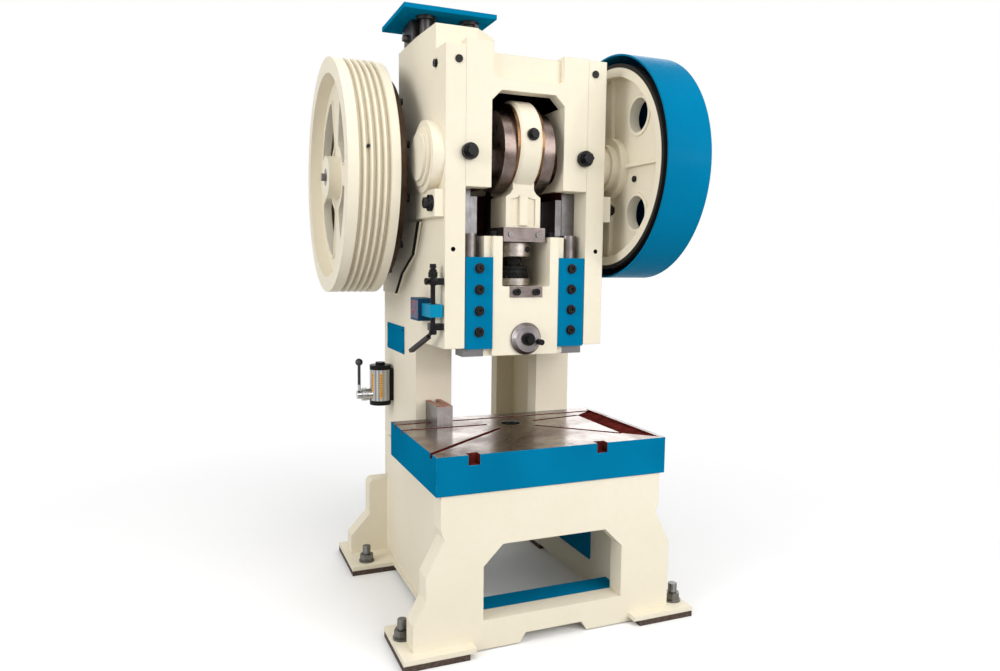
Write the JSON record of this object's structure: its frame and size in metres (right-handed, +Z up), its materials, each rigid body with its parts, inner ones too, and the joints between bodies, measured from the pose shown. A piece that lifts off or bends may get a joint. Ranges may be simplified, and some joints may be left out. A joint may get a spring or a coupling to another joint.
{
  "type": "mechanical stamping press",
  "caption": "Open-back stamping press with a geared crankshaft, belt flywheel, guided ram and fixed slotted bolster on a splayed base.",
  "frame": {"origin": "centre of the die hole at the top face of the bolster plate, on the ram axis", "axes": "+X to the right as seen from the front, +Y to the back, +Z up along the ram axis"},
  "size_m": [1.126, 1.2672, 2.066],
  "materials": {
    "cream_paint": "satin",
    "blue_paint": "satin",
    "black_steel": "satin",
    "ground_steel": "ground",
    "brown_steel": "polished",
    "bronze": "satin",
    "black_rubber": "matt",
    "pad_rubber": "matt",
    "chrome": "polished",
    "clear_plastic": "clear",
    "black_plastic": "gloss",
    "navy_plastic": "satin"
  },
  "bodies": {
    "frame": {"frame_casting": "cream_paint", "frame_base": "cream_paint", "crank_bridge": "cream_paint", "bolster_plate": "blue_paint", "floor_pads": "pad_rubber", "anchor_studs": "ground_steel", "anchor_nuts": "ground_steel", "base_sheets": "blue_paint", "left_bearing_cover": "cream_paint", "crank_bushes": "bronze", "drive_bearings": "cream_paint", "gib_plates": "blue_paint", "gib_blocks": "ground_steel", "guide_rails": "ground_steel", "guide_posts": "ground_steel", "gib_bolts": "black_steel", "housing_bolts": "black_steel", "strip_screws": "black_steel", "motor_plate": "blue_paint", "motor_posts": "ground_steel", "motor_nuts": "black_steel", "motor_tilt_block": "black_steel", "gear_guard": "blue_paint", "guard_arms": "blue_paint", "flywheel_shield": "cream_paint", "shield_edge": "black_rubber", "blank_plate": "blue_paint", "plate_rivets": "black_steel", "pump_bracket": "black_plastic", "pump_barrel": "clear_plastic", "pump_caps": "black_plastic", "pump_valve": "chrome", "spindle_brackets": "black_steel", "switch_box": "navy_plastic", "setting_block": "ground_steel"},
    "crank": {"crankshaft": "brown_steel", "crank_collar": "cream_paint", "gear_wheel": "cream_paint"},
    "rod": {"connecting_rod": "cream_paint", "rod_bush": "bronze", "rod_clamp": "ground_steel", "lock_nut": "ground_steel", "adjusting_screw": "black_steel", "ball_seat": "black_steel", "seat_ring": "ground_steel", "clamp_screws": "ground_steel", "big_end_bolt": "black_steel"},
    "ram": {"ram": "cream_paint", "seat_retainer": "ground_steel", "ram_screws": "black_steel"},
    "dial": {"ram_dial": "ground_steel", "dial_hub": "black_plastic"},
    "drive": {"drive_shaft": "ground_steel", "pinion": "ground_steel", "clutch_plate": "brown_steel", "clutch_bolts": "black_steel"},
    "flywheel": {"flywheel": "cream_paint", "friction_lining": "black_rubber"},
    "pump_lever": {"pump_lever": "black_plastic"},
    "control_spindle": {"control_spindle": "black_steel"}
  },
  "joints": [
    {"name": "crank_turn", "type": "hinge", "parent": "frame", "child": "crank", "pos_m": [0, 0, 0.92], "axis": [-1, 0, 0], "range_deg": [0, 180]},
    {"name": "rod_swing", "type": "hinge", "parent": "crank", "child": "rod", "pos_m": [0, 0, 0.97], "axis": [-1, 0, 0], "range_deg": [-180, 0]},
    {"name": "ram_travel", "type": "slide", "parent": "frame", "child": "ram", "axis": [0, 0, -1], "range_m": [0, 0.1]},
    {"name": "drive_turn", "type": "hinge", "parent": "frame", "child": "drive", "pos_m": [0, 0.42823, 0.881], "axis": [-1, 0, 0], "range_deg": [-852, 0]},
    {"name": "flywheel_spin", "type": "hinge", "parent": "frame", "child": "flywheel", "pos_m": [0, 0.42823, 0.881], "axis": [-1, 0, 0], "continuous": true},
    {"name": "dial_turn", "type": "hinge", "parent": "ram", "child": "dial", "pos_m": [0, -0.118, 0.317], "axis": [0, -1, 0], "continuous": true},
    {"name": "pump_stroke", "type": "hinge", "parent": "frame", "child": "pump_lever", "pos_m": [-0.4405, 0.504, 0.043], "axis": [1, 0, 0], "range_deg": [-35, 60]},
    {"name": "spindle_turn", "type": "hinge", "parent": "frame", "child": "control_spindle", "pos_m": [-0.326, -0.104, 0.45], "axis": [0, 0, 1], "range_deg": [0, 40]}
  ],
  "couplings": [
    {"joint": "rod_swing", "follows": "crank_turn", "ratio": -1},
    {"joint": "ram_travel", "follows": "crank_turn", "m_per_rad": 0.03183},
    {"joint": "drive_turn", "follows": "crank_turn", "ratio": -4.7333}
  ]
}
